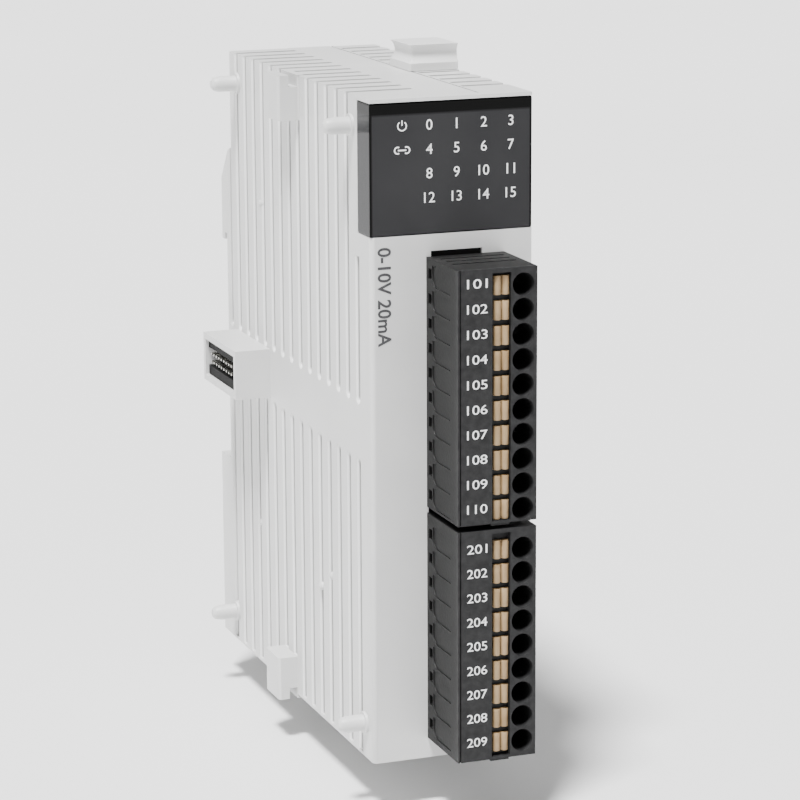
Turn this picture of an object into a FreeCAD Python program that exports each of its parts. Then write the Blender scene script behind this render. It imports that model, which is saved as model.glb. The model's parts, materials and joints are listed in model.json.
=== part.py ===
import FreeCAD, Part
import os
import re
import Sketcher
from FreeCAD import Placement, Rotation, Vector

# Slim DIN-rail analogue output module.
# Frame: X across the width, -Y towards the terminals, +Z up.
# Origin: middle of the width, on the floor of the rail slot, half way up the slot's mouth.

doc = FreeCAD.newDocument("plc_module")

# Driving dimensions in millimetres.
DIMENSIONS = {
    # housing envelope
    "width": 24.0, "height": 95.0, "front": 66.0, "back": 4.9, "back_upper": 2.5,
    "wall": 1.8, "front_wall": 2.0, "seam": 4.6, "seam_groove": 0.35,
    "edge_radius": 0.7,
    "step_back": 2.0, "slope_low": 27.2, "slope_high": 33.4,
    # gap between fixed pieces, overlap of joined ones, and how far a cutting shape runs past a face
    "gap": 0.05, "overlap": 0.5, "past": 1.0,
    # rail slot
    "slot_low": 17.8, "slot_high": 18.6, "lip_gap": 1.2, "lip_low": 17.5,
    # side and top ribs
    "groove_first": 1.8, "groove_pitch": 4.2, "groove_width": 1.3, "groove_depth": 1.1,
    "groove_rim": 0.4, "groove_lip": 0.3, "band_top": 4.9, "band_bottom": 4.6, "top_groove_end": 2.2,
    "last_groove_top": 25.2, "mark_depth": 0.25, "mark_radius": 0.6,
    # indicator window
    "window_low": 28.5, "window_high": 47.0, "window_side": 5.0, "window_skin": 1.2,
    "guide_gap": 0.1, "guide_left": 0.4, "guide_right": 0.3, "guide_low": 1.2, "guide_high": 1.5,
    "opening_left": 0.3, "opening_right": 0.1, "opening_low": 1.0, "opening_high": 1.3,
    "guide_thickness": 2.3, "light_board": 1.1, "light_board_low": 0.6,
    "lamp_pitch_x": 4.03, "lamp_pitch_z": 3.36,
    "lamp_x": 3.26, "lamp_z": 43.75, "status_lamp_x": 7.25, "lamp_size": 1.0, "lamp_height": 0.5,
    "lamp_hole_x": 2.6, "lamp_hole_z": 2.2,
    # alignment pins and the bores that take the next module's pins
    "pin_radius": 1.2, "pin_tip_radius": 1.0, "pin_nose_radius": 0.6, "pin_length": 2.9,
    "pin_taper": 0.9, "pin_nose": 0.4, "collar_radius": 1.6, "collar_length": 0.4,
    "collar_play": 0.2, "bore_radius": 1.4, "bore_depth": 4.7, "boss_end": 0.2, "boss_radius": 2.1,
    "boss_start": 2.0,
    # hooks for the next module's lock clips
    "hook_out": 3.0, "hook_y": 6.3, "hook_z": 6.6, "hook_notch_x": 1.3, "hook_notch_z": 1.7,
    "hook_drop": 0.6, "upper_hook_y": 35.4, "lower_hook_y": 32.2, "hook_play": 0.35,
    "hook_corner": 0.35,
    # bus connector
    "shroud_out": 5.6, "shroud_front": 21.0, "shroud_back": 4.6, "shroud_low": 3.4,
    "shroud_high": 4.1, "shroud_wall": 0.95, "bus_pitch": 1.27, "bus_first": 7.1,
    "bus_row": 1.05, "bus_pin": 0.34, "bus_pin_inset": 0.5, "bus_base": 2.6, "bus_play": 0.3,
    "socket_inset": 0.5, "socket_contact_inset": 1.5, "jaw_inset": 0.55,
    "lower_jaw": 1.0, "upper_jaw": 1.85, "tongue": 0.15,
    "stack_first": 10.8, "stack_pitch": 2.54,
    # circuit boards
    "board": 1.6, "solder": 0.5, "solder_short": 0.4,
    "main_x": 8.6, "main_front": 55.8, "main_back": 6.0, "main_z": 44.5,
    "io_x": 4.6, "io_front": 48.0, "io_back": 5.0, "io_z": 38.0,
    # terminal plugs and headers
    "plug_left": 3.8, "plug_right": 7.85, "plug_out": 12.0, "plug_gap": 0.1,
    "header_right": 6.95, "upper_top": 25.4, "upper_bottom": 10.3, "lower_top": 11.15,
    "lower_bottom": 44.5,
    "pole_pitch": 3.5, "upper_pole": 23.0, "lower_pole": 14.2,
    "wire_x": 5.8, "wire_radius": 1.6, "wire_depth": 4.0, "throat_radius": 1.2,
    "channel_left": 1.25, "channel_right": 3.98, "channel_depth": 1.0, "channel_low": 0.35,
    "channel_high": 0.6, "line_first": 0.25, "line_last": 0.45, "line_depth": 0.3,
    "ledge_left": 1.2, "ledge_right": 1.0, "ledge_width": 0.5, "ledge_depth": 0.3, "ledge_pitch": 2.2,
    "toe_front": 0.4, "toe_back": 3.0, "toe_height": 0.4,
    "header_inset": 0.3, "header_inset_z": 0.21,
    "header_wall": 0.7, "header_depth": 10.5, "header_floor": 2.0,
    "nose_gap": 0.15, "nose_length": 7.9, "contact_x": 2.05, "contact_pin": 0.8,
    "contact_tip": 0.8, "contact_bend": 1.0, "tongue_left": 0.75, "tongue_right": 1.25,
    "chamber_left": 1.0, "chamber_right": 7.2, "chamber_low": 0.6, "chamber_depth": 5.4,
    "chamber_half": 1.35, "strip": 0.4, "strip_half": 0.45, "pin_hole": 0.55, "leaf_half": 1.1,
    "panel_first": 2.4, "panel_last": 9.1, "panel_depth": 0.14, "panel_low": 1.45, "panel_high": 1.5,
    "panel_corner": 1.6, "catch_first": 0.9, "catch_last": 2.1, "catch_depth": 2.0, "catch_low": 0.45,
    "catch_high": 0.95, "service_height": 0.75, "service_inset": 0.5,
    # release buttons
    "button_left": 1.63, "button_right": 3.98, "button_split": 0.1, "button_half": 1.42,
    "button_head": 1.9, "button_inset": 0.25, "stem_margin": 0.2, "stem_length": 4.1,
    # lock clips
    "clip_left": 4.4, "clip_y": 8.5, "clip_height": 3.9, "flange": 1.1,
    "scoop_radius": 2.0, "scoop_offset": 1.45, "scoop_height": 2.55, "upper_clip_y": 38.3,
    "lower_clip_y": 35.8, "blade": 1.0, "blade_drop": 1.0, "blade_inset": 0.15, "blade_front": 3.7,
    "blade_back": 0.2, "stem_left": 6.2, "stem_right": 8.2, "stem_inset": 2.0,
    "foot_drop": 3.3, "foot": 1.0, "foot_left": 0.6, "foot_right": 0.3, "foot_inset": 1.4,
    # rail latch
    "latch_x": 2.0, "latch_half": 3.6, "latch_wing": 0.7, "latch_gap": 0.1, "latch_floor": 0.4,
    "latch_tooth": 1.4, "latch_tail": 1.8, "latch_window_half": 1.7, "wing_depth": 1.4, "peg": 1.26,
    "peg_back": 1.2, "pull_half": 1.6, "pull_rim": 0.6, "spring_low": 38.5,
    "spring_high": 28.0, "spring_radius": 1.15, "spring_wire": 0.22,
}

POLES = {"upper": 10, "lower": 9}
GROOVES = 15
BUS_COLUMNS = 10
LAMP_COLUMNS = 4
LAMP_ROWS = 4
STATUS_LAMPS = 2
STACK_COLUMNS = 8
PLUG_LEDGES = 3
SPRING_TURNS = 6

# Centre of each alignment pin, measured back from the rail slot and up from the centre.
PIN_CENTRES = {
    "upper_rear": (-6.6, 43.0), "upper_front": (-58.6, 43.2),
    "lower_rear": (-2.0, -42.7), "lower_front": (-62.5, -42.3),
}

# Ejector marks on the left wall, in the same two directions.
EJECTOR_MARKS = ((-17.3, 26.0), (-15.4, -24.6), (-48.5, -24.3), (-43.6, -27.2))

# Board components: place along the board (back to front, then up), size along it and height on it.
CONVERTER_CHIPS = [(-44, z, 6.4, 5.2, 1.1) for z in (18, 6, -6, -18, -30)]
ISOLATORS = [(-32, z, 4, 7.5, 1.8) for z in (-14, -24, -34)]
CONTROLLER_CHIP = (-30, 14, 9, 9, 1.2)
POWER_CONVERTER = (-34, 20, 14, 12, 7.0)
INDUCTOR = (-16, 20, 7, 7, 3.2)
CAPACITOR_Y, CAPACITOR_Z, CAPACITOR_RADIUS, CAPACITOR_HEIGHT = (-42, -35, -28), -24, 3, 7

# Outline of a clamp leaf: distance from the chamber's left wall, and from its rear end.
LEAF_OUTLINE = [(0, 0), (0, 2.6), (2.6, 3.9), (3.8, 2.2), (3.5, 1.95), (2.5, 3.5), (0.35, 2.3), (0.35, 0)]

sheet = doc.addObject("Spreadsheet::Sheet", "Dimensions")
for row, (alias, size) in enumerate(DIMENSIONS.items(), start=1):
    sheet.set(f"A{row}", alias)
    sheet.set(f"B{row}", str(size))
    sheet.setAlias(f"B{row}", alias)
doc.recompute()


# ---------------------------------------------------------------- helpers

def formula(text):
    """Turn the plain dimension names in a formula into references to the sheet."""
    def reference(match):
        word = match.group(0)
        return f"Dimensions.{word}" if word in DIMENSIONS else word
    return re.sub(r"[a-z_]+", reference, str(text))


def bind(item, target, text):
    item.setExpression(target, formula(text))


def place(item, x, y, z, rotation=Rotation()):
    """Bind an object's position to three formulas."""
    item.Placement = Placement(Vector(), rotation)
    for axis, text in zip("xyz", (x, y, z)):
        bind(item, f"Placement.Base.{axis}", text)
    return item


def block(x, y, z, name="Block"):
    """A box between the low and high formula of each axis."""
    box = doc.addObject("Part::Box", name)
    for side, (low, high) in zip(("Length", "Width", "Height"), (x, y, z)):
        bind(box, side, f"({high}) - ({low})")
    return place(box, x[0], y[0], z[0])


TURNS = {"x": Rotation(Vector(0, 1, 0), 90), "-x": Rotation(Vector(0, 1, 0), -90),
         "y": Rotation(Vector(1, 0, 0), -90), "-y": Rotation(Vector(1, 0, 0), 90),
         "z": Rotation(), "-z": Rotation(Vector(1, 0, 0), 180)}


def rod(direction, base, radius, length, name="Rod"):
    """A cylinder that starts at base and runs in the given direction."""
    cylinder = doc.addObject("Part::Cylinder", name)
    bind(cylinder, "Radius", radius)
    bind(cylinder, "Height", length)
    return place(cylinder, *base, TURNS[direction])


def taper(direction, base, radius_start, radius_end, length, name="Taper"):
    cone = doc.addObject("Part::Cone", name)
    bind(cone, "Radius1", radius_start)
    bind(cone, "Radius2", radius_end)
    bind(cone, "Height", length)
    return place(cone, *base, TURNS[direction])


def ball(centre, radius, name="Ball"):
    sphere = doc.addObject("Part::Sphere", name)
    bind(sphere, "Radius", radius)
    return place(sphere, *centre)


def fuse(items, name="Fusion"):
    fusion = doc.addObject("Part::MultiFuse", name)
    fusion.Shapes = items
    fusion.Refine = True
    return fusion


def group(items, name="Group"):
    """Several separate solids kept together in one node."""
    compound = doc.addObject("Part::Compound", name)
    compound.Links = items
    return compound


def cut(base, tools, name="Cut"):
    result = doc.addObject("Part::Cut", name)
    result.Base = base
    result.Tool = tools[0] if len(tools) == 1 else fuse(tools)
    result.Refine = True
    return result


def prism(plane, points, start, stop, name="Profile"):
    """A PartDesign body: a closed outline on an origin plane, padded from start to stop."""
    body = doc.addObject("PartDesign::Body", name)
    sketch = body.newObject("Sketcher::SketchObject", f"{name}Sketch")
    origin_plane = next(f for f in body.Origin.OriginFeatures if f.Role == plane)
    sketch.AttachmentSupport = [(origin_plane, "")]
    sketch.MapMode = "FlatFace"
    bind(sketch, "AttachmentOffset.Base.z", start)
    turn = Rotation(Vector(0, 0, 1), 360.0 / len(points))
    corner = Vector(10, 0, 0)
    corners = []
    for _ in points:
        corners.append(corner)
        corner = turn.multVec(corner)
    for i, first in enumerate(corners):
        sketch.addGeometry(Part.LineSegment(first, corners[(i + 1) % len(corners)]))
    for i in range(len(points)):
        sketch.addConstraint(Sketcher.Constraint("Coincident", i, 2, (i + 1) % len(points), 1))
    for i, (across, up) in enumerate(points):
        for kind, text, value in (("X", across, corners[i].x), ("Y", up, corners[i].y)):
            index = sketch.addConstraint(
                Sketcher.Constraint(f"Distance{kind}", -1, 1, i, 1, value))
            sketch.renameConstraint(index, f"{kind.lower()}{i}")
            bind(sketch, f"Constraints.{kind.lower()}{i}", text)
    pad = body.newObject("PartDesign::Pad", f"{name}Pad")
    pad.Profile = sketch
    bind(pad, "Length", f"({stop}) - ({start})")
    body.Tip = pad
    sketch.Visibility = False
    return body


NODES = {}


def node(item, label):
    """Register a finished sub-part under the name of its file."""
    item.Label = label
    NODES[label] = item
    return item


# ---------------------------------------------------------------- housing

LEFT, RIGHT = "-width/2", "width/2"
FRONT, TOP, BOTTOM = "-front", "height/2", "-height/2"
INNER_LEFT, INNER_RIGHT = "-width/2 + wall", "width/2 - wall"


def side_outline(inset):
    """Side view of the housing, moved inwards by a formula; its front face isn't moved."""
    return [
        (FRONT, f"{BOTTOM} + {inset}"), (f"back - {inset}", f"{BOTTOM} + {inset}"),
        (f"back - {inset}", f"-slot_low - {inset}"), (f"-({inset})", f"-slot_low - {inset}"),
        (f"-({inset})", f"slot_high + {inset}"), (f"lip_gap - {inset}*0.5", f"slot_high + {inset}"),
        (f"lip_gap - {inset}*0.5", f"lip_low + {inset}*1.6"),
        (f"back_upper - {inset}", f"lip_low + {inset}*1.6"),
        (f"back_upper - {inset}", f"slope_low - {inset}*0.5"),
        (f"-step_back - {inset}", f"slope_high - {inset}*0.5"),
        (f"-step_back - {inset}", f"{TOP} - {inset}"), (FRONT, f"{TOP} - {inset}"),
    ]


def groove_y(index):
    return f"-groove_first - groove_pitch*{index}"


def groove_outline(face, sign, centre):
    """Section of a groove across the wall: a straight slot that widens at the face."""
    wide, narrow = "(groove_width/2 + groove_lip)", "groove_width/2"
    return [
        (face, f"{centre} - {wide}"), (f"{face} {sign} groove_lip", f"{centre} - {narrow}"),
        (f"{face} {sign} groove_depth", f"{centre} - {narrow}"),
        (f"{face} {sign} groove_depth", f"{centre} + {narrow}"),
        (f"{face} {sign} groove_lip", f"{centre} + {narrow}"), (face, f"{centre} + {wide}"),
    ]


def side_grooves(face, sign):
    """Vertical grooves of one side wall, interrupted by the smooth band around the connector."""
    inward = "x" if sign == "+" else "-x"
    tools = []
    for index in range(GROOVES):
        centre = groove_y(index)
        outline = groove_outline(face, sign, centre)
        upper_end = TOP if index < GROOVES - 1 else "last_groove_top"
        tools.append(prism("XY_Plane", outline, f"{BOTTOM} + groove_rim", "-band_bottom", "Groove"))
        tools.append(prism("XY_Plane", outline, "band_top", upper_end, "Groove"))
        for height in ("-band_bottom", "band_top"):
            start = (face, centre, height)
            tools.append(rod(inward, start, "groove_width/2", "groove_depth"))
            tools.append(taper(inward, start, "groove_width/2 + groove_lip", "groove_width/2", "groove_lip"))
    return tools


def top_grooves(x_low, x_high):
    """The same grooves, carried over the top face between two places across the width."""
    tools = []
    for index in range(GROOVES - 1):
        centre = groove_y(index)
        along = (f"{centre} - groove_width/2", f"{centre} + groove_width/2")
        tools.append(block((x_low, x_high), along, (f"{TOP} - groove_depth", TOP)))
    return tools


def window_recess():
    """Space that the indicator window takes out of the front corners."""
    rise = ("window_low", "window_high")
    skin = "window_skin + gap"
    return [
        block((LEFT, RIGHT), (FRONT, f"{FRONT} + {skin}"), rise),
        block((LEFT, f"{LEFT} + {skin}"), (FRONT, f"{FRONT} + window_side"), rise),
        block((f"{RIGHT} - ({skin})", RIGHT), (FRONT, f"{FRONT} + window_side"), rise),
    ]


def rounded_edge():
    """Corner that is removed to round the front edge below the window."""
    corner = block((f"{LEFT} - past", f"{LEFT} + edge_radius"),
                   (f"{FRONT} - past", f"{FRONT} + edge_radius"), (BOTTOM, "window_low"))
    kept = rod("z", (f"{LEFT} + edge_radius", f"{FRONT} + edge_radius", BOTTOM), "edge_radius", "height")
    return cut(corner, [kept])


def alignment_pin(y, z):
    root = f"{LEFT} + groove_depth"
    nose = f"{LEFT} - pin_length"
    return [
        rod("-x", (root, y, z), "collar_radius", "groove_depth + collar_length"),
        rod("-x", (root, y, z), "pin_radius", "groove_depth + pin_length"),
        taper("-x", (nose, y, z), "pin_radius", "pin_tip_radius", "pin_taper"),
        taper("-x", (f"{nose} - pin_taper", y, z), "pin_tip_radius", "pin_nose_radius", "pin_nose"),
    ]


def hook_rise(side):
    """Lowest and highest place of a hook: flush with the top face, a little below the bottom one."""
    if side > 0:
        return (f"{TOP} - hook_z", TOP)
    return (f"{BOTTOM} - hook_drop", f"{BOTTOM} - hook_drop + hook_z")


def neighbour_hook(front_edge, side):
    """Hook on the left wall with a notch for the next module's lock blade."""
    low, high = hook_rise(side)
    notch = (f"{high} - hook_notch_z", high) if side > 0 else (low, f"{low} + hook_notch_z")
    near, far = f"-{front_edge}", f"-{front_edge} + hook_y"
    outside, root = f"{LEFT} - hook_out", f"{LEFT} + groove_depth"
    outline = [(root, near), (f"{outside} + hook_corner", near), (outside, f"{near} + hook_corner"),
               (outside, f"{far} - hook_corner"), (f"{outside} + hook_corner", far), (root, far)]
    body = prism("XY_Plane", outline, low, high, "Hook")
    return cut(body, [block((f"{LEFT} - hook_notch_x", LEFT), (near, far), notch)])


def bus_shroud():
    return block((f"{LEFT} - shroud_out", f"{LEFT} + groove_depth"), ("-shroud_front", "-shroud_back"),
                 ("-shroud_low", "shroud_high"))


SHROUD_INSIDE_Y = ("-shroud_front + shroud_wall", "-shroud_back - shroud_wall")
SHROUD_INSIDE_Z = ("-shroud_low + shroud_wall", "shroud_high - shroud_wall")


def bus_opening():
    return block((f"{LEFT} - shroud_out", INNER_LEFT), SHROUD_INSIDE_Y, SHROUD_INSIDE_Z)


def latch_guide():
    """Thickened lower back that the rail latch slides in."""
    return block(("-latch_x - latch_half - wall", "-latch_x + latch_half + wall"),
                 ("latch_floor - wall", "back"), (BOTTOM, "-slot_low"))


def latch_channel():
    wing = "latch_half + latch_wing + latch_gap"
    peg = block(("-latch_x - spring_radius", "-latch_x + spring_radius"),
                ("latch_floor - gap", "back - peg_back"), ("-spring_low - peg", "-spring_low"))
    channel = fuse([
        block(("-latch_x - latch_half - latch_gap", "-latch_x + latch_half + latch_gap"),
              ("latch_floor", "back"), (BOTTOM, "-slot_low")),
        block((f"-latch_x - ({wing})", f"-latch_x + ({wing})"),
              ("lip_gap", "lip_gap + wing_depth"), (BOTTOM, "-slot_low - wall")),
    ])
    return cut(channel, [peg])


def left_housing():
    shell = cut(prism("YZ_Plane", side_outline("0"), LEFT, "seam", "LeftOuter"), [
        prism("YZ_Plane", [(f"{y} + front_wall" if y == FRONT else y, z) for y, z in side_outline("wall")],
              INNER_LEFT, "seam + past", "LeftCavity")])
    front_bar = block(("seam - overlap", INNER_RIGHT), (FRONT, f"{FRONT} + front_wall"), (BOTTOM, TOP))
    opening = block(("-plug_left + header_inset", "header_right + gap"),
                    (f"{FRONT} - past", f"{FRONT} + header_depth"),
                    ("-lower_bottom + header_inset_z", "upper_top - header_inset_z"))
    service_slot = block(("-plug_left + service_height", "seam"),
                         (f"{FRONT} - past", f"{FRONT} + front_wall + past"),
                         ("upper_top - past", "upper_top + service_height"))
    lamp_opening = block((f"{INNER_LEFT} + opening_left", f"{INNER_RIGHT} - opening_right"),
                         (FRONT, f"{FRONT} + front_wall + past"),
                         ("window_low + opening_low", "window_high - opening_high"))
    boss_relief = rod("x", ("seam + boss_start", *PIN_CENTRES["lower_front"]), "boss_radius + 2*gap",
                      "width/2")
    ejector_marks = [ball((f"{LEFT} + mark_depth", y, z), "mark_radius") for y, z in EJECTOR_MARKS]
    ribbed = cut(fuse([shell, front_bar, latch_guide()]),
                 side_grooves(LEFT, "+") + top_grooves(LEFT, "-top_groove_end"))
    additions = [ribbed, bus_shroud()] + ejector_marks
    additions += [neighbour_hook("upper_hook_y", 1), neighbour_hook("lower_hook_y", -1)]
    for y, z in PIN_CENTRES.values():
        additions += alignment_pin(y, z)
    tools = [opening, service_slot, lamp_opening, bus_opening(), latch_channel(), rounded_edge()]
    tools += window_recess() + [boss_relief]
    return node(cut(fuse(additions), tools), "left_housing")


def pin_bore(y, z):
    return [
        rod("-x", (RIGHT, y, z), "bore_radius", "bore_depth"),
        rod("-x", (RIGHT, y, z), "collar_radius + collar_play", "collar_length + collar_play"),
    ]


def clip_y(front_edge):
    return (f"-{front_edge}", f"-{front_edge} + clip_y")


def hook_window(front_edge, side):
    """Hole in the right wall for the next module's hook, with the slot for the lock blade."""
    depth = (f"-{front_edge} - hook_play", f"-{front_edge} + hook_y + hook_play")
    low, high = hook_rise(side)
    rise = (f"{low} - hook_play", TOP) if side > 0 else (BOTTOM, f"{high} + hook_play")
    return block((f"{RIGHT} - hook_out - hook_play", RIGHT), depth, rise)


def stem_slot(front_edge, side):
    rise = (f"{TOP} - wall - past", f"{TOP} + past") if side > 0 else (
        f"{BOTTOM} - past", f"{BOTTOM} + wall + past")
    inset = "(stem_inset - latch_gap)"
    return block(("stem_left - latch_gap", "stem_right + latch_gap"),
                 (f"-{front_edge} + {inset}", f"-{front_edge} + clip_y - {inset}"), rise)


def right_cover():
    shell = cut(prism("YZ_Plane", side_outline("0"), "seam", RIGHT, "RightOuter"), [
        prism("YZ_Plane", side_outline("wall"), "seam - past", INNER_RIGHT, "RightCavity"),
        block(("seam - past", INNER_RIGHT), (FRONT, f"{FRONT} + front_wall"), (BOTTOM, TOP))])
    bosses = [rod("-x", (RIGHT, y, z), "boss_radius", "bore_depth + boss_end")
              for y, z in PIN_CENTRES.values()]
    parting_line = [
        block(("seam", "seam + seam_groove"), (FRONT, "back"), (f"{TOP} - seam_groove", TOP)),
        block(("seam", "seam + seam_groove"), (FRONT, "back"), (BOTTOM, f"{BOTTOM} + seam_groove")),
    ]
    bus_window = block((INNER_RIGHT, RIGHT), ("-shroud_front - bus_play", "-shroud_back + bus_play"),
                       ("-shroud_low - bus_play", "shroud_high + bus_play"))
    tools = side_grooves(RIGHT, "-") + top_grooves("seam + seam_groove*2", RIGHT) + parting_line
    tools += window_recess() + [bus_window]
    tools += [hook_window("upper_hook_y", 1), hook_window("lower_hook_y", -1)]
    tools += [stem_slot("upper_clip_y", 1), stem_slot("lower_clip_y", -1)]
    body = fuse([cut(shell, tools)] + bosses)
    bores = []
    for y, z in PIN_CENTRES.values():
        bores += pin_bore(y, z)
    return node(cut(body, bores + window_recess()), "right_cover")


# ---------------------------------------------------------------- indicator panel

def display_window():
    rise = ("window_low + gap", "window_high - gap")
    front = block((LEFT, RIGHT), (FRONT, f"{FRONT} + window_skin"), rise)
    sides = [block((LEFT, f"{LEFT} + window_skin"), (FRONT, f"{FRONT} + window_side - gap"), rise),
             block((f"{RIGHT} - window_skin", RIGHT), (FRONT, f"{FRONT} + window_side - gap"), rise)]
    return node(fuse([front] + sides), "display_window")


def lamp_places():
    """Centres of the numbered lamps and of the two status lamps."""
    places = []
    for row in range(LAMP_ROWS):
        for column in range(LAMP_COLUMNS):
            places.append((f"-lamp_x + lamp_pitch_x*{column}", f"lamp_z - lamp_pitch_z*{row}"))
    for row in range(STATUS_LAMPS):
        places.append(("-status_lamp_x", f"lamp_z - lamp_pitch_z*{row}"))
    return places


GUIDE_X = (f"{INNER_LEFT} + guide_left", f"{INNER_RIGHT} - guide_right")
GUIDE_Y = (f"{FRONT} + window_skin + guide_gap", f"{FRONT} + window_skin + guide_gap + guide_thickness")


def light_guide():
    plate = block(GUIDE_X, GUIDE_Y, ("window_low + guide_low", "window_high - guide_high"))
    through = (f"{GUIDE_Y[0]} - past", f"{GUIDE_Y[1]} + past")
    holes = [block((f"{x} - lamp_hole_x/2", f"{x} + lamp_hole_x/2"), through,
                   (f"{z} - lamp_hole_z/2", f"{z} + lamp_hole_z/2")) for x, z in lamp_places()]
    return node(cut(plate, holes), "light_guide")


def indicator_leds():
    lamps = [block((f"{x} - lamp_size/2", f"{x} + lamp_size/2"), (f"{GUIDE_Y[1]} - lamp_height", GUIDE_Y[1]),
                   (f"{z} - lamp_size/2", f"{z} + lamp_size/2")) for x, z in lamp_places()]
    return node(group(lamps), "indicator_leds")


def display_board():
    return node(block(GUIDE_X, (GUIDE_Y[1], f"{GUIDE_Y[1]} + light_board"),
                      ("window_low + light_board_low", "window_high - guide_high")), "display_board")


# ---------------------------------------------------------------- boards and their parts

def bus_places():
    places = []
    for column in range(BUS_COLUMNS):
        for row in range(2):
            places.append((f"-bus_first - bus_pitch*{column}", f"bus_row - bus_pitch*{row}"))
    return places


def square_pins(places, x, size):
    return [block(x, (f"{y} - ({size})/2", f"{y} + ({size})/2"), (f"{z} - ({size})/2", f"{z} + ({size})/2"))
            for y, z in places]


def bus_pin_set():
    return square_pins(bus_places(), (f"{LEFT} - shroud_out + bus_pin_inset", "-main_x + board + solder"),
                       "bus_pin")


def bus_header_pins():
    return node(group(bus_pin_set()), "bus_header_pins")


def bus_header_insulator():
    """Black lining of the shroud: a base deep inside, and a jaw above and below the pins."""
    along = (f"{SHROUD_INSIDE_Y[0]} + gap", f"{SHROUD_INSIDE_Y[1]} - gap")
    base = block((f"{LEFT} - shroud_out + bus_base", "-main_x"), along, SHROUD_INSIDE_Z)
    jaw_x = (f"{LEFT} - shroud_out + jaw_inset", LEFT)
    lower = block(jaw_x, along, (SHROUD_INSIDE_Z[0], "-lower_jaw"))
    upper = block(jaw_x, along, ("upper_jaw", SHROUD_INSIDE_Z[1]))
    return node(cut(fuse([base, lower, upper]), bus_pin_set()), "bus_header_insulator")


def bus_socket_insulator():
    """Socket that goes between the jaws of the next module's header."""
    body = block(("io_x + board", f"{RIGHT} - socket_inset"),
                 (f"{SHROUD_INSIDE_Y[0]} + tongue", f"{SHROUD_INSIDE_Y[1]} - tongue"),
                 ("-lower_jaw + tongue", "upper_jaw - tongue"))
    holes = square_pins(bus_places(), ("io_x + board", RIGHT), "bus_pin + strip")
    return node(cut(body, holes), "bus_socket_insulator")


def bus_socket_contacts():
    """Thin contact tongues, one near the lower side of each socket hole."""
    tongues = []
    for y, z in bus_places():
        tongues.append(block(("io_x + board", f"{RIGHT} - socket_contact_inset"),
                             (f"{y} - bus_pin/2", f"{y} + bus_pin/2"),
                             (f"{z} - bus_pin/2 - tongue", f"{z} - bus_pin/2 - gap")))
    return node(group(tongues), "bus_socket_contacts")


def stacking_places():
    places = []
    for column in range(STACK_COLUMNS):
        for row in range(2):
            places.append((f"-bus_first - bus_pitch*{column}", f"-stack_first - stack_pitch*{row}"))
    return places


def stacking_tails():
    tails = square_pins(stacking_places(), ("-main_x - solder_short", "-main_x + board"), "bus_pin")
    return tails + square_pins(stacking_places(), ("io_x", "io_x + board + solder_short"), "bus_pin")


def stacking_connector():
    along = (f"-bus_first - bus_pitch*{STACK_COLUMNS}", "-bus_first + bus_pitch")
    rise = ("-stack_first - stack_pitch*3/2", "-stack_first + stack_pitch/2")
    return node(block(("-main_x + board", "io_x"), along, rise), "stacking_connector")


def stacking_pins():
    return node(group(stacking_tails()), "stacking_pins")


def main_board():
    plate = block(("-main_x", "-main_x + board"), ("-main_front", "-main_back"), ("-main_z", "main_z"))
    pins = bus_pin_set() + stacking_tails() + header_pin_set("upper") + header_pin_set("lower")
    return node(cut(plate, pins), "main_board")


def io_board():
    plate = block(("io_x", "io_x + board"), ("-io_front", "-io_back"), ("-io_z", "io_z"))
    return node(cut(plate, stacking_tails()), "io_board")


def component(x, y, z, size_y, size_z):
    """A block that stands on a board between two places across the width."""
    return block(x, (f"{y} - {size_y}/2", f"{y} + {size_y}/2"), (f"{z} - {size_z}/2", f"{z} + {size_z}/2"))


def on_main(y, z, size_y, size_z, height):
    return component(("-main_x + board", f"-main_x + board + {height}"), y, z, size_y, size_z)


def on_io(y, z, size_y, size_z, height):
    return component((f"io_x - {height}", "io_x"), y, z, size_y, size_z)


def board_parts():
    node(on_main(*CONTROLLER_CHIP), "controller_chip")
    node(group([on_main(*chip) for chip in CONVERTER_CHIPS]), "converter_chips")
    node(group([on_main(*isolator) for isolator in ISOLATORS]), "isolators")
    node(on_io(*POWER_CONVERTER), "power_converter")
    cans = [rod("-x", ("io_x", y, CAPACITOR_Z), CAPACITOR_RADIUS, CAPACITOR_HEIGHT) for y in CAPACITOR_Y]
    node(group(cans), "capacitors")
    node(on_io(*INDUCTOR), "inductor")


# ---------------------------------------------------------------- terminal plugs

LIMITS = {"upper": ("-upper_bottom", "upper_top"), "lower": ("-lower_bottom", "-lower_top")}
FIRST_POLE = {"upper": "upper_pole", "lower": "-lower_pole"}


def poles(which):
    """Heights of the poles of one plug, from the top down."""
    return [f"{FIRST_POLE[which]} - pole_pitch*{index}" for index in range(POLES[which])]


def header_pin_set(which):
    """Right-angle pins from the plug's contacts to the main board."""
    pins = []
    half = "contact_pin/2"
    bend = f"{FRONT} + header_depth + contact_bend"
    for z in poles(which):
        rise = (f"{z} - {half}", f"{z} + {half}")
        blade = block((f"contact_x - {half}", f"contact_x + {half}"), (f"{FRONT} + contact_tip", bend), rise)
        tail = block(("-main_x - solder", f"contact_x + {half}"), (bend, f"{bend} + contact_pin"), rise)
        pins.append(fuse([blade, tail]))
    return pins


def header_pins(which):
    return node(group(header_pin_set(which)), f"header_pins_{which}")


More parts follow.
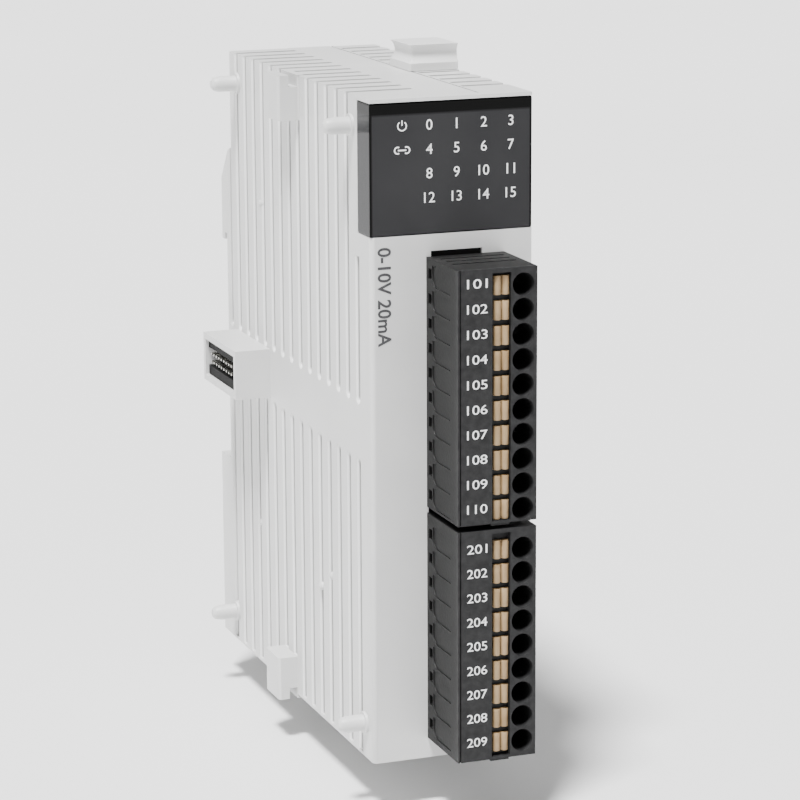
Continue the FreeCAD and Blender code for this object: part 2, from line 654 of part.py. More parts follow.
def terminal_header(which):
    low, high = LIMITS[which]
    x = ("-plug_left + header_inset + gap", "header_right")
    z = (f"{low} + header_inset_z + gap", f"{high} - header_inset_z - gap")
    body = block(x, (FRONT, f"{FRONT} + header_depth"), z)
    mouth = block((f"{x[0]} + header_wall", f"{x[1]} - header_wall"),
                  (f"{FRONT} - past", f"{FRONT} + header_depth - header_floor"),
                  (f"{z[0]} + header_wall", f"{z[1]} - header_wall"))
    if which == "upper":
        key = block(("-plug_left + service_height + gap", "seam - gap"),
                    (f"{FRONT} + service_inset", f"{FRONT} + front_wall + past"),
                    (f"{z[1]} - past", "upper_top + service_height - gap"))
        body = fuse([body, key])
    return node(cut(body, [mouth] + header_pin_set(which)), f"terminal_header_{which}")


def pole_cuts(z):
    """Wire funnel, button stem hole, contact chamber and pin hole of one pole."""
    face = f"{FRONT} - plug_out"
    chamber = (f"{FRONT} - chamber_low - chamber_depth", f"{FRONT} - chamber_low")
    rise = (f"{z} - chamber_half", f"{z} + chamber_half")
    return [
        taper("y", ("wire_x", face, z), "wire_radius", "throat_radius", "wire_depth"),
        rod("y", ("wire_x", face, z), "throat_radius", "plug_out - chamber_low - past"),
        block(("chamber_left", "chamber_right"), chamber, rise),
        block(("button_left", "button_right"), (face, chamber[1]),
              (f"{z} - button_half + gap", f"{z} + button_half - gap")),
        block(("contact_x - tongue_left", "contact_x + tongue_right"),
              (f"{FRONT} - past", f"{FRONT} + nose_length + past"), (f"{z} - pin_hole", f"{z} + pin_hole")),
    ]


def side_marks(z):
    """Shallow round-cornered panel and small catch slot of one pole on the plug's left face."""
    face = "-plug_left"
    deep = (face, f"{face} + panel_depth")
    rear, corner_front = f"{FRONT} - panel_first", f"{FRONT} - panel_first - panel_corner"
    low, corner_top = f"{z} - panel_low", f"{z} - panel_low + panel_corner"
    return [
        block(deep, (f"{FRONT} - panel_last", corner_front), (low, f"{z} + panel_high")),
        block(deep, (corner_front, rear), (corner_top, f"{z} + panel_high")),
        rod("x", (face, corner_front, corner_top), "panel_corner", "panel_depth"),
        block((face, f"{face} + catch_depth"), (f"{FRONT} - catch_last", f"{FRONT} - catch_first"),
              (f"{z} - catch_low", f"{z} + catch_high")),
    ]


def terminal_plug(which):
    low, high = LIMITS[which]
    face = f"{FRONT} - plug_out"
    body = block(("-plug_left", "plug_right"), (face, f"{FRONT} - plug_gap"), (low, high))
    mate = "header_inset + header_wall + gap + nose_gap"
    rim = "header_inset_z + header_wall + gap + nose_gap"
    nose = block((f"-plug_left + {mate}", "header_right - header_wall - nose_gap"),
                 (f"{FRONT} - past", f"{FRONT} + nose_length"), (f"{low} + {rim}", f"{high} - ({rim})"))
    toe = block(("channel_left", "channel_right"), (f"{face} + toe_front", f"{face} + toe_back"),
                (f"{low} - toe_height", low))
    channel = block(("channel_left", "channel_right"), (face, f"{face} + channel_depth"),
                    (f"{low} + channel_low", f"{high} - channel_high"))
    edge_line = block(("-plug_left + line_first", "-plug_left + line_last"), (face, f"{face} + line_depth"),
                      (low, high))
    cuts = [channel, edge_line]
    for index in range(1, PLUG_LEDGES + 1):
        back = f"{FRONT} - ledge_pitch*{index}"
        cuts.append(block(("-plug_left + ledge_left", "plug_right - ledge_right"),
                          (f"{back} - ledge_width", back), (f"{high} - ledge_depth", high)))
    for z in poles(which):
        cuts += pole_cuts(z) + side_marks(z)
    return node(cut(fuse([body, nose, toe]), cuts), f"terminal_plug_{which}")


def contact_bars(which):
    """Current bar of each pole: a side against the wire, a base and a tongue beside the pin."""
    bars = []
    base = f"{FRONT} - chamber_low"
    for z in poles(which):
        rise = (f"{z} - strip_half", f"{z} + strip_half")
        side = block(("chamber_right - strip", "chamber_right"),
                     (f"{base} - chamber_depth + strip", base), rise)
        foot = block(("contact_x + tongue_left", "chamber_right"), (f"{base} - strip", base), rise)
        tongue = block(("contact_x + tongue_left", "contact_x + tongue_left + strip"),
                       (f"{base} - strip", f"{FRONT} + nose_length - past"), rise)
        bars.append(fuse([side, foot, tongue]))
    return node(group(bars), f"contact_bars_{which}")


def clamp_springs(which):
    """Bent leaf of each pole, from the chamber's left wall to the wire's side."""
    outline = [(f"chamber_left + {across}", f"-(front + chamber_low + {back})")
               for across, back in LEAF_OUTLINE]
    leaves = [prism("XY_Plane", outline, f"{z} - leaf_half", f"{z} + leaf_half", f"Leaf{which}{index}")
              for index, z in enumerate(poles(which))]
    return node(group(leaves), f"clamp_springs_{which}")


def release_button(z, number):
    """Push button with two half-round upright ridges, which opens the clamp spring of one pole."""
    front = f"{FRONT} - plug_out + button_inset"
    middle = "(button_left + button_right)/2"
    low, high = f"{z} - button_half + 2*gap", f"{z} + button_half - 2*gap"
    ridge = "(button_right - button_left - button_split)/4"
    parts = []
    for x in (f"button_left + {ridge}", f"button_right - {ridge}"):
        parts.append(rod("z", (x, f"{front} + {ridge}", low), ridge, f"({high}) - ({low})"))
        parts.append(block((f"{x} - {ridge}", f"{x} + {ridge}"),
                           (f"{front} + {ridge}", f"{front} + button_head"), (low, high)))
    web = block((f"{middle} - button_split", f"{middle} + button_split"),
                (f"{front} + {ridge}", f"{front} + button_head"), (low, high))
    stem = block(("button_left + stem_margin", "button_right - stem_margin"),
                 (f"{front} + button_head - stem_margin", f"{front} + button_head + stem_length"),
                 (f"{z} - button_half + stem_margin", f"{z} + button_half - stem_margin"))
    return node(fuse(parts + [web, stem]), f"release_button_{number:02d}")


# ---------------------------------------------------------------- locks

def lock_clip(front_edge, side, label):
    """Spool-shaped grip with a stem, a foot that stops it, and a blade for the next module's hook."""
    def z_range(low, high):
        """Distances above the housing's top face, turned over for the lower clip."""
        if side > 0:
            return (f"{TOP} + {low}", f"{TOP} + {high}")
        return (f"{BOTTOM} - ({high})", f"{BOTTOM} - ({low})")

    y_low, y_high = clip_y(front_edge)
    x = ("clip_left", RIGHT)
    spool = block(x, (y_low, y_high), z_range("gap", "clip_height"))
    scoop_z = z_range("scoop_height", "clip_height")[0 if side > 0 else 1]
    scoops = [
        rod("x", ("clip_left - past", f"{y_low} - scoop_offset", scoop_z), "scoop_radius", "width"),
        rod("x", ("clip_left - past", f"{y_high} + scoop_offset", scoop_z), "scoop_radius", "width"),
        rod("y", ("clip_left - scoop_offset", f"{y_low} - past", scoop_z), "scoop_radius", "clip_y + 2*past"),
    ]
    grip = cut(spool, scoops)
    stem = block(("stem_left", "stem_right"), (f"{y_low} + stem_inset", f"{y_high} - stem_inset"),
                 z_range("-wall - foot_drop - foot", "flange"))
    foot = block(("stem_left - foot_left", "stem_right + foot_right"),
                 (f"{y_low} + foot_inset", f"{y_high} - foot_inset"),
                 z_range("-wall - foot_drop - foot", "-wall - foot_drop"))
    blade = block((f"{RIGHT} - blade_inset - blade", f"{RIGHT} - blade_inset"),
                  (f"{y_low} + blade_front", f"{y_high} - blade_back"),
                  z_range("-blade_drop", "flange"))
    return node(fuse([grip, stem, foot, blade]), label)


def rail_clip():
    """Sliding latch with a tooth behind the rail's lower edge and a pull tab below the housing."""
    x = ("-latch_x - latch_half", "-latch_x + latch_half")
    slab = block(x, ("latch_floor + latch_gap", "back - latch_gap"),
                 (f"{BOTTOM} - latch_tail", "-slot_low - latch_gap"))
    tooth = block(x, ("latch_tooth", "back - latch_gap"), ("-slot_low - overlap", "-slot_low + latch_tooth"))
    wing = "latch_half + latch_wing"
    wings = block((f"-latch_x - ({wing})", f"-latch_x + ({wing})"),
                  ("lip_gap + latch_gap", "lip_gap + wing_depth - latch_gap"),
                  ("-main_z + past", "-slot_low - wall - past"))
    window = block(("-latch_x - latch_window_half", "-latch_x + latch_window_half"), ("0", "back"),
                   ("-spring_low - peg - 2*latch_gap", "-spring_high"))
    pull_slot = block(("-latch_x - pull_half", "-latch_x + pull_half"), ("0", "back"),
                      (f"{BOTTOM} - latch_tail + pull_rim", f"{BOTTOM} - 2*latch_gap"))
    return node(cut(fuse([slab, tooth, wings]), [window, pull_slot]), "rail_clip")


def rail_clip_spring():
    """Compression spring between the housing's peg and the top of the latch's window."""
    wire = float(sheet.get("spring_wire"))
    radius = float(sheet.get("spring_radius")) - wire
    low = -float(sheet.get("spring_low")) + wire
    room = float(sheet.get("spring_low")) - float(sheet.get("spring_high"))
    length = room - 2 * wire - float(sheet.get("gap"))
    helix = Part.makeHelix(length / SPRING_TURNS, length, radius)
    section = Part.Wire([Part.makeCircle(wire, Vector(radius, 0, 0), Vector(0, 1, 0))])
    coil = Part.Wire(helix).makePipeShell([section], True, True)
    spring = doc.addObject("Part::Feature", "Coil")
    spring.Shape = coil
    centre_y = (float(sheet.get("latch_floor")) + float(sheet.get("back"))) / 2
    spring.Placement = Placement(Vector(-float(sheet.get("latch_x")), centre_y, low), Rotation())
    return node(spring, "rail_clip_spring")


# ---------------------------------------------------------------- assembly

def build():
    left_housing()
    right_cover()
    display_window()
    light_guide()
    indicator_leds()
    display_board()
    bus_header_pins()
    bus_header_insulator()
    bus_socket_insulator()
    bus_socket_contacts()
    stacking_connector()
    stacking_pins()
    main_board()
    io_board()
    board_parts()
    number = 1
    for which in POLES:
        header_pins(which)
        terminal_header(which)
        terminal_plug(which)
        contact_bars(which)
        clamp_springs(which)
        for z in poles(which):
            release_button(z, number)
            number += 1
    lock_clip("upper_clip_y", 1, "top_lock_clip")
    lock_clip("lower_clip_y", -1, "bottom_lock_clip")
    rail_clip()
    rail_clip_spring()


def check_and_write():
    doc.recompute()
    failed = [item.Name for item in doc.Objects if {"Invalid", "Error"} & set(item.State)]
    if failed:
        raise RuntimeError(f"objects failed: {failed}")
    for label, item in NODES.items():
        if item.Shape.isNull() or not item.Shape.isValid():
            raise RuntimeError(f"bad shape: {label}")
    os.makedirs("parts", exist_ok=True)
    for label, item in NODES.items():
        item.Shape.exportStep(os.path.join("parts", f"{label}.step"))
        box = item.Shape.BoundBox
        sides = ((box.XMin, box.XMax), (box.YMin, box.YMax), (box.ZMin, box.ZMax))
        reach = ", ".join(f"{low:.2f}..{high:.2f}" for low, high in sides)
        print(f"{label}: {len(item.Shape.Solids)} solids, {item.Shape.Volume:.1f} mm3, {reach}")


build()
check_and_write()
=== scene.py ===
import json
import math

import bpy
from mathutils import Matrix, Vector


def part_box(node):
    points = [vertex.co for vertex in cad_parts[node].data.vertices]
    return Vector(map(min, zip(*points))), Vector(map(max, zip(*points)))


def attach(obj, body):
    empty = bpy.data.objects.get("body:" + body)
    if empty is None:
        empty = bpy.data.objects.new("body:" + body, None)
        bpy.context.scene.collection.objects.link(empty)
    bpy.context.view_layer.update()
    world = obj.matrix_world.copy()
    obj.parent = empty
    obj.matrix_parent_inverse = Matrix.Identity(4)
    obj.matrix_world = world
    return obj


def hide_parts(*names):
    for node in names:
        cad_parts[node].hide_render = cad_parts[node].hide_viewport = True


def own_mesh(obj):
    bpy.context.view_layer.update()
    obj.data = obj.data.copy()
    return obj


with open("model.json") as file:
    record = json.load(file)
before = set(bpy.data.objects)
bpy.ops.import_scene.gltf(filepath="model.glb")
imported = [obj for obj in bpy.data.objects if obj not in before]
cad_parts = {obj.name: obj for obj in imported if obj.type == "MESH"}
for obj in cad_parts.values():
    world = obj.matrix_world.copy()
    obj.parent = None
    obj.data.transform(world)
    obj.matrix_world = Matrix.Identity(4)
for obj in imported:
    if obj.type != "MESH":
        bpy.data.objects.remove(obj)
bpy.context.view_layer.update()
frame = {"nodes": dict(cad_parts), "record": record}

# Looks of a slim DIN-rail analogue output module, in metres, in the CAD model's own frame.
MM = 0.001
NODES = frame["nodes"]

# Camera: where it stands, where it looks and its lens.
CAMERA_PLACE = Vector((-153.8, -457.7, 101.7)) * MM
CAMERA_YAW = math.radians(20.45)
CAMERA_PITCH = math.radians(12.97)
CAMERA_ROLL = math.radians(-0.30)
CAMERA_LENS = 138.7

# Sun: the direction its light comes from, its apparent width and its strength.
KEY_DIRECTION = (-0.26, -0.24, 0.93)
KEY_ANGLE, KEY_STRENGTH = math.radians(11), 9.0

# Upright soft light at the left: place, where it points, size and power.
CARD_PLACE, CARD_TARGET = (-1.2, -0.47, -0.04), (0, -0.03, 0)
CARD_SIZE, CARD_POWER = (0.24, 0.6), 6.4

# Brightness of the surroundings, and how it changes along each axis.
SKY_LEVEL = 0.42
SKY_SLOPE = (-0.05, 0.0, 0.33)

# The floor lies below the bottom lock at its full travel.
LOCK_TRAVEL, FLOOR_CLEAR = 3.0 * MM, 0.2 * MM
FLOOR_REACH = 4.0

# Lettering: sizes, how far it stands off the face, and how much the strokes are thickened.
NUMERAL_HEIGHT = 1.45 * MM
LABEL_HEIGHT, LABEL_WIDTH = 1.3 * MM, 3.0 * MM
LABEL_SHIFT, LABEL_RISE = 0.1 * MM, 0.5 * MM
RATING_HEIGHT, RATING_LENGTH = 2.0 * MM, 13.9 * MM
RATING_X, RATING_Z = -9.95 * MM, 20.1 * MM
PRINT_LIFT = 0.03 * MM
LETTER_BOLD, RATING_BOLD = 0.004, 0.02

# Window legend: the grid of channel numbers, and the column of status icons.
LAMP_COLUMNS, LAMP_ROWS = 4, 4
LAMP_FIRST = Vector((-3.26, 0, 43.75)) * MM
LAMP_PITCH_X, LAMP_PITCH_Z = 4.03 * MM, 3.36 * MM
STATUS_X = -7.25 * MM
POWER_ICON_HEIGHT, LINK_ICON_HEIGHT = 1.5 * MM, 1.1 * MM
# Width of an icon's strokes, before the icon is scaled to its height.
ICON_STROKE = 0.28

# Poles of the upper plug and of both plugs together.
UPPER_POLES, POLES = 10, 19

# Painted light and shade: the window's black band along the top (a painted reflection) and its black
# corner lines (painted shade), the plugs' black wire holes (painted shade), and the pale lips (painted
# highlights) and dark inside (painted shade) of the grooves.
PAINTED_BLACK, PLUG_HOLE_SHADE = (0.001, 0.001, 0.001), (0.006, 0.006, 0.006)
LIP_HIGHLIGHT_GREY, GROOVE_SHADE_GREY = (0.78, 0.78, 0.775), (0.22, 0.22, 0.215)
BAND_HIGH, BAND_LOW, CORNER_LINE = 1.9 * MM, 1.5 * MM, 0.45 * MM
PLUG_SHADE_START, PLUG_SHADE_END = 0.35 * MM, 1.3 * MM
LIP_START, LIP_END = 0.02 * MM, 0.1 * MM
GROOVE_SHADE_START, GROOVE_SHADE_END = 0.3 * MM, 0.6 * MM
RIM_SHADE_START, RIM_SHADE_END = 0.1 * MM, 0.5 * MM
FRONT_WALL_CLEAR, FRONT_FADE = 1.6 * MM, 1.0 * MM
BACK_CLEAR, BACK_FADE = 2.1 * MM, 0.1 * MM

# Sockets of a colour Mix node, which are found by number.
MIX_FACTOR, MIX_BELOW, MIX_ABOVE, MIX_RESULT = 0, 6, 7, 2


# ---------------------------------------------------------------- materials

def mottled(name, dark, light, roughness, scale=400.0, bump=0.0, grain=4000.0, metallic=0.0,
            specular=0.5):
    """A surface whose colour drifts a little between two tones, with a fine moulded grain."""
    material = bpy.data.materials.new(name)
    material.use_nodes = True
    nodes, links = material.node_tree.nodes, material.node_tree.links
    shader = nodes["Principled BSDF"]
    place = nodes.new("ShaderNodeTexCoord")
    noise = nodes.new("ShaderNodeTexNoise")
    noise.inputs["Scale"].default_value = scale
    noise.inputs["Detail"].default_value = 3.0
    ramp = nodes.new("ShaderNodeValToRGB")
    ramp.color_ramp.elements[0].position = 0.3
    ramp.color_ramp.elements[0].color = (*dark, 1.0)
    ramp.color_ramp.elements[1].position = 0.7
    ramp.color_ramp.elements[1].color = (*light, 1.0)
    links.new(place.outputs["Object"], noise.inputs["Vector"])
    links.new(noise.outputs["Fac"], ramp.inputs["Fac"])
    links.new(ramp.outputs["Color"], shader.inputs["Base Color"])
    shader.inputs["Roughness"].default_value = roughness
    shader.inputs["Metallic"].default_value = metallic
    shader.inputs["Specular IOR Level"].default_value = specular
    if bump:
        fine = nodes.new("ShaderNodeTexNoise")
        fine.inputs["Scale"].default_value = grain
        fine.inputs["Detail"].default_value = 2.0
        relief = nodes.new("ShaderNodeBump")
        relief.inputs["Strength"].default_value = bump
        relief.inputs["Distance"].default_value = 0.05 * MM
        links.new(place.outputs["Object"], fine.inputs["Vector"])
        links.new(fine.outputs["Fac"], relief.inputs["Height"])
        links.new(relief.outputs["Normal"], shader.inputs["Normal"])
    return material


def blend_over(material, factor, colour):
    """Lay one more colour over a material's base colour, as strongly as a factor says."""
    nodes, links = material.node_tree.nodes, material.node_tree.links
    base = nodes["Principled BSDF"].inputs["Base Color"]
    mix = nodes.new("ShaderNodeMix")
    mix.data_type = "RGBA"
    mix.inputs[MIX_ABOVE].default_value = (*colour, 1.0)
    links.new(factor, mix.inputs[MIX_FACTOR])
    links.new(base.links[0].from_socket, mix.inputs[MIX_BELOW])
    links.new(mix.outputs[MIX_RESULT], base)


def ramp_along(material, axis, start, end, away=False):
    """A factor that goes from 0 to 1 between two places along an axis, or away from the middle."""
    nodes, links = material.node_tree.nodes, material.node_tree.links
    place = nodes.new("ShaderNodeTexCoord")
    split = nodes.new("ShaderNodeSeparateXYZ")
    reach = nodes.new("ShaderNodeMapRange")
    reach.inputs["From Min"].default_value = start
    reach.inputs["From Max"].default_value = end
    links.new(place.outputs["Object"], split.inputs["Vector"])
    distance = split.outputs[axis]
    if away:
        size = nodes.new("ShaderNodeMath")
        size.operation = "ABSOLUTE"
        links.new(distance, size.inputs[0])
        distance = size.outputs["Value"]
    links.new(distance, reach.inputs["Value"])
    return reach.outputs["Result"]


def product(material, factors):
    """Multiply factors together."""
    nodes, links = material.node_tree.nodes, material.node_tree.links
    total = factors[0]
    for factor in factors[1:]:
        times = nodes.new("ShaderNodeMath")
        times.operation = "MULTIPLY"
        links.new(total, times.inputs[0])
        links.new(factor, times.inputs[1])
        total = times.outputs["Value"]
    return total


def smoked_window():
    """Dark gloss, painted black in a band along the top as a painted reflection, and along the upright
    corners as painted shade.
    """
    material = mottled("window_smoke", (0.023, 0.023, 0.0245), (0.031, 0.031, 0.0325), 0.12,
                       scale=60.0, specular=0.07)
    low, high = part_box("display_window")
    blend_over(material, ramp_along(material, "Z", high.z - BAND_HIGH, high.z - BAND_LOW), PAINTED_BLACK)
    corner = product(material, [
        ramp_along(material, "X", high.x - CORNER_LINE, high.x - CORNER_LINE / 2, away=True),
        ramp_along(material, "Y", low.y + CORNER_LINE, low.y + CORNER_LINE / 2)])
    blend_over(material, corner, PAINTED_BLACK)
    return material


def plug_plastic():
    """Charcoal plastic, with painted shade: black deep inside the wire holes."""
    material = mottled("terminal_charcoal", (0.009, 0.009, 0.0095), (0.020, 0.020, 0.0205),
                       0.5, 900.0, 0.5, grain=2500.0, specular=0.2)
    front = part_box("terminal_plug_upper")[0].y
    depth = ramp_along(material, "Y", front + PLUG_SHADE_START, front + PLUG_SHADE_END)
    blend_over(material, depth, PLUG_HOLE_SHADE)
    return material


def housing_plastic():
    """Light grey plastic, with painted highlights on the lips of the grooves and painted shade inside
    them.
    """
    material = mottled("housing_grey", (0.57, 0.57, 0.565), (0.61, 0.61, 0.605), 0.4, 90.0, 0.08)
    low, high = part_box("left_housing")
    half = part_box("right_cover")[1].x
    ribbed = product(material, [
        ramp_along(material, "Z", high.z - RIM_SHADE_START, high.z - RIM_SHADE_END, away=True),
        ramp_along(material, "Y", low.y + FRONT_WALL_CLEAR, low.y + FRONT_WALL_CLEAR + FRONT_FADE),
        ramp_along(material, "Y", -BACK_CLEAR, -BACK_CLEAR - BACK_FADE)])
    # Painted highlight on the groove lips, then painted shade deeper inside the grooves.
    for start, end, colour in ((LIP_START, LIP_END, LIP_HIGHLIGHT_GREY),
                               (GROOVE_SHADE_START, GROOVE_SHADE_END, GROOVE_SHADE_GREY)):
        depth = ramp_along(material, "X", half - start, half - end, away=True)
        blend_over(material, product(material, [ribbed, depth]), colour)
    return material


MATERIALS = {
    "housing": housing_plastic(),
    "clip": mottled("clip_grey", (0.66, 0.66, 0.655), (0.70, 0.70, 0.695), 0.45, 120.0, 0.1),
    "window": smoked_window(),
    "guide": mottled("guide_black", (0.015, 0.015, 0.015), (0.025, 0.025, 0.025), 0.6),
    "lamp": mottled("lamp_clear", (0.72, 0.76, 0.68), (0.82, 0.86, 0.78), 0.25),
    "board": mottled("board_green", (0.012, 0.11, 0.045), (0.02, 0.16, 0.07), 0.35, 700.0),
    "contact": mottled("contact_tin", (0.62, 0.61, 0.57), (0.74, 0.73, 0.69), 0.28, 900.0, metallic=1.0),
    "insulator": mottled("insulator_black", (0.004, 0.004, 0.004), (0.009, 0.009, 0.009),
                         0.6, 500.0, 0.1, specular=0.1),
    "chip": mottled("chip_black", (0.018, 0.018, 0.02), (0.03, 0.03, 0.032), 0.55, 900.0, 0.15),
    "can": mottled("can_aluminium", (0.62, 0.62, 0.63), (0.76, 0.76, 0.77), 0.3, 300.0, metallic=1.0),
    "ferrite": mottled("ferrite_grey", (0.06, 0.06, 0.06), (0.1, 0.1, 0.1), 0.7, 900.0, 0.3),
    "terminal": plug_plastic(),
    "button": mottled("button_beige", (0.24, 0.155, 0.072), (0.34, 0.235, 0.125), 0.5, 500.0, 0.15),
    "spring": mottled("spring_steel", (0.5, 0.5, 0.5), (0.66, 0.66, 0.66), 0.25, 900.0, metallic=1.0),
}
PRINT_WHITE = mottled("print_white", (0.80, 0.80, 0.80), (0.88, 0.88, 0.88), 0.6, 2000.0)
PRINT_GREY = mottled("print_grey", (0.035, 0.035, 0.037), (0.06, 0.06, 0.063), 0.6, 2000.0)

# Rounding of moulded edges, by material slot.
EDGE_RADIUS = {"housing": 0.14 * MM, "clip": 0.25 * MM, "window": 0.22 * MM, "terminal": 0.08 * MM,
               "button": 0.28 * MM}


WELD_DISTANCE = 0.001 * MM


def soften(item, radius):
    """Round the sharp edges a little, so that they catch the light."""
    weld = item.modifiers.new("joined_faces", "WELD")
    weld.merge_threshold = WELD_DISTANCE
    bevel = item.modifiers.new("rounded_edges", "BEVEL")
    bevel.width = radius
    bevel.segments = 2
    bevel.limit_method = "ANGLE"
    bevel.angle_limit = math.radians(50)


def dress_nodes():
    """Give every CAD node the material of its slot, and soften the moulded ones."""
    for part in frame["record"]["subparts"]:
        item = NODES[part["node"]]
        slot = part["material_slot"]
        item.data.materials.clear()
        item.data.materials.append(MATERIALS[slot])
        if slot in EDGE_RADIUS:
            soften(item, EDGE_RADIUS[slot])


# ---------------------------------------------------------------- lettering

def flat_print(name, outline_mesh, material, height, length, transform, body):
    """Scale a flat mesh to its printed size, centre it and lay it on a face."""
    xs = [v.co.x for v in outline_mesh.vertices]
    ys = [v.co.y for v in outline_mesh.vertices]
    middle = Vector(((min(xs) + max(xs)) / 2, (min(ys) + max(ys)) / 2, 0))
    scale_y = height / (max(ys) - min(ys))
    scale_x = length / (max(xs) - min(xs)) if length else scale_y
    outline_mesh.transform(Matrix.Diagonal((scale_x, scale_y, 1, 1)) @ Matrix.Translation(-middle))
    outline_mesh.transform(transform)
    outline_mesh.materials.clear()
    outline_mesh.materials.append(material)
    item = bpy.data.objects.new(name, outline_mesh)
    bpy.context.scene.collection.objects.link(item)
    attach(item, body)


def text_mesh(text, bold=LETTER_BOLD):
    """A flat mesh of a short text in the built-in font."""
    curve = bpy.data.curves.new("lettering", "FONT")
    curve.body = text
    curve.offset = bold
    curve.resolution_u = 4
    carrier = bpy.data.objects.new("lettering", curve)
    bpy.context.scene.collection.objects.link(carrier)
    bpy.context.view_layer.update()
    graph = bpy.context.evaluated_depsgraph_get()
    mesh = bpy.data.meshes.new_from_object(carrier.evaluated_get(graph))
    bpy.data.objects.remove(carrier)
    bpy.data.curves.remove(curve)
    return mesh


def on_front(x, y, z, turn=0.0):
    """Stand a flat print on a face that looks towards -Y, turned clockwise by an angle."""
    stand = Matrix.Rotation(math.radians(90), 4, "X")
    spin = Matrix.Rotation(-turn, 4, "Z")
    return Matrix.Translation((x, y - PRINT_LIFT, z)) @ stand @ spin


def strip(points, width):
    """A flat line of even width through a list of 2-D points."""
    vertices, faces = [], []
    for i, point in enumerate(points):
        before = points[max(i - 1, 0)]
        after = points[min(i + 1, len(points) - 1)]
        along = (Vector(after) - Vector(before)).normalized()
        side = Vector((-along.y, along.x)) * width / 2
        for offset in (side, -side):
            vertices.append((point[0] + offset.x, point[1] + offset.y, 0))
        if i:
            n = 2 * i
            faces.append((n - 2, n - 1, n + 1, n))
    return vertices, faces


def arc(centre, radius, start, end, steps=24):
    """Points along an arc, with its angles in degrees."""
    angles = [math.radians(start + (end - start) * i / steps) for i in range(steps + 1)]
    return [(centre[0] + radius * math.cos(a), centre[1] + radius * math.sin(a)) for a in angles]


def icon_mesh(lines):
    """A flat mesh of several strokes."""
    vertices, faces = [], []
    for points in lines:
        more, loops = strip(points, ICON_STROKE)
        faces += [tuple(index + len(vertices) for index in loop) for loop in loops]
        vertices += more
    mesh = bpy.data.meshes.new("icon")
    mesh.from_pydata(vertices, [], faces)
    return mesh


def power_icon():
    """An open ring with a stroke through the gap."""
    return icon_mesh([arc((0, 0), 1.0, 125, 415), [(0, 0.1), (0, 1.25)]])


def link_icon():
    """Two open rings joined by a stroke."""
    left = arc((-0.9, 0), 0.62, 60, 300)
    right = arc((0.9, 0), 0.62, -120, 120)
    return icon_mesh([left, right, [(-0.85, 0), (0.85, 0)]])


def window_legend():
    """Channel numbers and status icons on the window's front."""
    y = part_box("display_window")[0].y
    for row in range(LAMP_ROWS):
        for column in range(LAMP_COLUMNS):
            number = row * LAMP_COLUMNS + column
            place = LAMP_FIRST + Vector((LAMP_PITCH_X * column, 0, -LAMP_PITCH_Z * row))
            flat_print(f"channel_number_{number}", text_mesh(str(number)), PRINT_WHITE,
                       NUMERAL_HEIGHT, None, on_front(place.x, y, place.z), "housing")
    icons = (("power_icon", power_icon(), POWER_ICON_HEIGHT),
             ("link_icon", link_icon(), LINK_ICON_HEIGHT))
    for row, (name, mesh, height) in enumerate(icons):
        flat_print(name, mesh, PRINT_WHITE, height, None,
                   on_front(STATUS_X, y, LAMP_FIRST.z - LAMP_PITCH_Z * row), "housing")


def pole_labels():
    """A three-figure number beside each release button."""
    for number in range(1, POLES + 1):
        low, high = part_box(f"release_button_{number:02d}")
        upper = number <= UPPER_POLES
        plug = "upper" if upper else "lower"
        left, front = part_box(f"terminal_plug_{plug}")[0].xy
        text = str(100 + number) if upper else str(200 + number - UPPER_POLES)
        centre = ((left + low.x) / 2 + LABEL_SHIFT, front, (low.z + high.z) / 2 + LABEL_RISE)
        flat_print(f"pole_label_{text}", text_mesh(text), PRINT_WHITE,
                   LABEL_HEIGHT, LABEL_WIDTH, on_front(*centre), f"{plug}_plug")


def rating_mark():
    """Output range, printed down the left of the front face."""
    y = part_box("left_housing")[0].y
    flat_print("rating_mark", text_mesh("0-10V 20mA", RATING_BOLD), PRINT_GREY,
               RATING_HEIGHT, RATING_LENGTH,
               on_front(RATING_X, y, RATING_Z, math.radians(90)), "housing")


def rail_spring():
    """The rail latch's coil as a piece of its own, with its own copy of the mesh, attached to the
    housing.
    """
    node = NODES["rail_clip_spring"]
    coil = bpy.data.objects.new("rail_spring_coil", node.data.copy())
    coil.matrix_world = node.matrix_world.copy()
    bpy.context.scene.collection.objects.link(coil)
    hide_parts("rail_clip_spring")
    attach(coil, "housing")
    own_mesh(coil)


# ---------------------------------------------------------------- studio

def area_light(name, place, target, size, power):
    """A rectangular light that the camera doesn't see."""
    lamp = bpy.data.lights.new(name, "AREA")
    lamp.shape = "RECTANGLE"
    lamp.size, lamp.size_y = size
    lamp.energy = power
    item = bpy.data.objects.new(name, lamp)
    item.location = place
    item.rotation_euler = (Vector(target) - Vector(place)).to_track_quat("-Z", "Y").to_euler()
    item.visible_camera = False
    bpy.context.scene.collection.objects.link(item)


def sun_light(name, direction, angle, strength):
    """A sun whose light comes from a direction."""
    lamp = bpy.data.lights.new(name, "SUN")
    lamp.angle = angle
    lamp.energy = strength
    item = bpy.data.objects.new(name, lamp)
    item.rotation_euler = (-Vector(direction)).to_track_quat("-Z", "Y").to_euler()
    bpy.context.scene.collection.objects.link(item)


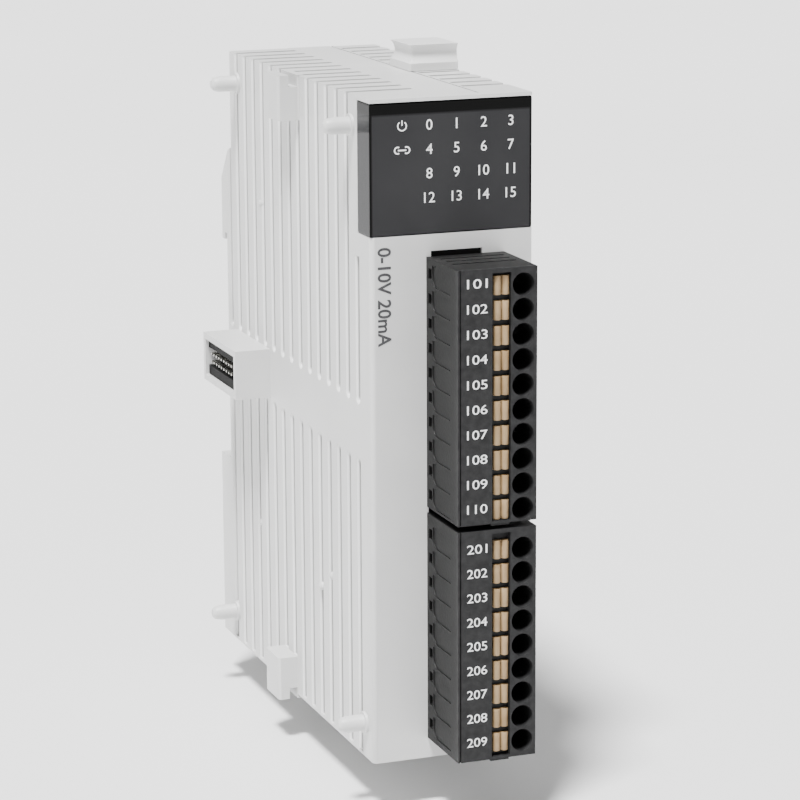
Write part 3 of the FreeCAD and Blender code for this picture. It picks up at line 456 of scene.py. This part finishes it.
def studio_world():
    """White surroundings, brighter from above and a little darker from the right."""
    world = bpy.data.worlds.new("studio")
    bpy.context.scene.world = world
    world.use_nodes = True
    nodes, links = world.node_tree.nodes, world.node_tree.links
    place = nodes.new("ShaderNodeTexCoord")
    slope = nodes.new("ShaderNodeVectorMath")
    slope.operation = "DOT_PRODUCT"
    slope.inputs[1].default_value = SKY_SLOPE
    level = nodes.new("ShaderNodeMath")
    level.operation = "ADD"
    level.inputs[1].default_value = SKY_LEVEL
    background = nodes["Background"]
    background.inputs["Color"].default_value = (1.0, 1.0, 1.0, 1.0)
    links.new(place.outputs["Generated"], slope.inputs[0])
    links.new(slope.outputs["Value"], level.inputs[0])
    links.new(level.outputs["Value"], background.inputs["Strength"])


def studio():
    """Surroundings, lights and a plain pale floor."""
    studio_world()
    sun_light("key", KEY_DIRECTION, KEY_ANGLE, KEY_STRENGTH)
    area_light("side_card", CARD_PLACE, CARD_TARGET, CARD_SIZE, CARD_POWER)
    floor_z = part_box("bottom_lock_clip")[0].z - LOCK_TRAVEL - FLOOR_CLEAR
    mesh = bpy.data.meshes.new("floor")
    corners = [(x * FLOOR_REACH, y * FLOOR_REACH, floor_z)
               for x, y in ((-1, -1), (1, -1), (1, 1), (-1, 1))]
    mesh.from_pydata(corners, [], [(0, 1, 2, 3)])
    mesh.materials.append(mottled("floor_white", (0.78, 0.78, 0.78), (0.81, 0.81, 0.81), 0.8, 3.0))
    floor = bpy.data.objects.new("floor", mesh)
    bpy.context.scene.collection.objects.link(floor)


def camera():
    """A long lens at the front left, turned by its yaw, pitch and roll."""
    ahead = Vector((math.sin(CAMERA_YAW) * math.cos(CAMERA_PITCH),
                    math.cos(CAMERA_YAW) * math.cos(CAMERA_PITCH), -math.sin(CAMERA_PITCH)))
    right = Vector((math.cos(CAMERA_YAW), -math.sin(CAMERA_YAW), 0))
    up = right.cross(ahead)
    rolled_right = right * math.cos(CAMERA_ROLL) + up * math.sin(CAMERA_ROLL)
    rolled_up = up * math.cos(CAMERA_ROLL) - right * math.sin(CAMERA_ROLL)
    data = bpy.data.cameras.new("camera")
    data.sensor_width = 36.0
    data.lens = CAMERA_LENS
    data.clip_start, data.clip_end = 0.01, 20.0
    item = bpy.data.objects.new("camera", data)
    turn = Matrix((rolled_right, rolled_up, -ahead)).transposed().to_4x4()
    item.matrix_world = Matrix.Translation(CAMERA_PLACE) @ turn
    bpy.context.scene.collection.objects.link(item)
    bpy.context.scene.camera = item


dress_nodes()
window_legend()
pole_labels()
rating_mark()
rail_spring()
studio()
camera()
